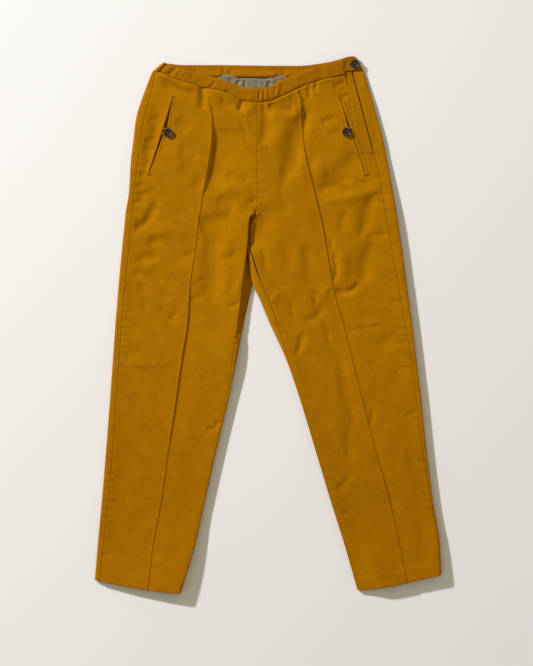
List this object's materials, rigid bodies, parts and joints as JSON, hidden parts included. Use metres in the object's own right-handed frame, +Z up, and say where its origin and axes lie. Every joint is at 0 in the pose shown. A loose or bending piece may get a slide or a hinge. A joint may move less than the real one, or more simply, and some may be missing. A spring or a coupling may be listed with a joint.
{
  "type": "moleskin trousers",
  "caption": "Child's moleskin trousers laid flat, front up, with gathered waistband, side tab and button, buttoned slanted pockets and pintucks down tapered legs.",
  "frame": {"origin": "middle of the garment's box, on the surface that it lies on", "axes": "+Z up out of the front, +Y towards the waist, +X towards the wearer's left"},
  "size_m": [0.4614, 0.7149, 0.0125],
  "materials": {
    "moleskin": "mustard moleskin, soft matt nap",
    "moleskin_band": "mustard moleskin, double layer",
    "cotton_lining": "grey-green plain woven cotton",
    "horn_button": "dark brown horn-like, satin"
  },
  "bodies": {
    "root": {"right_front": "moleskin", "left_front": "moleskin", "right_back": "moleskin", "left_back": "moleskin", "waistband_front": "moleskin_band", "waistband_back": "moleskin_band", "waist_tab": "moleskin_band", "back_lining": "cotton_lining", "right_pocket_outer_welt": "moleskin", "right_pocket_inner_welt": "moleskin", "right_pocket_loop": "moleskin_band", "right_pocket_button": "horn_button", "left_pocket_outer_welt": "moleskin", "left_pocket_inner_welt": "moleskin", "left_pocket_loop": "moleskin_band", "left_pocket_button": "horn_button", "waist_button": "horn_button"}
  },
  "joints": []
}
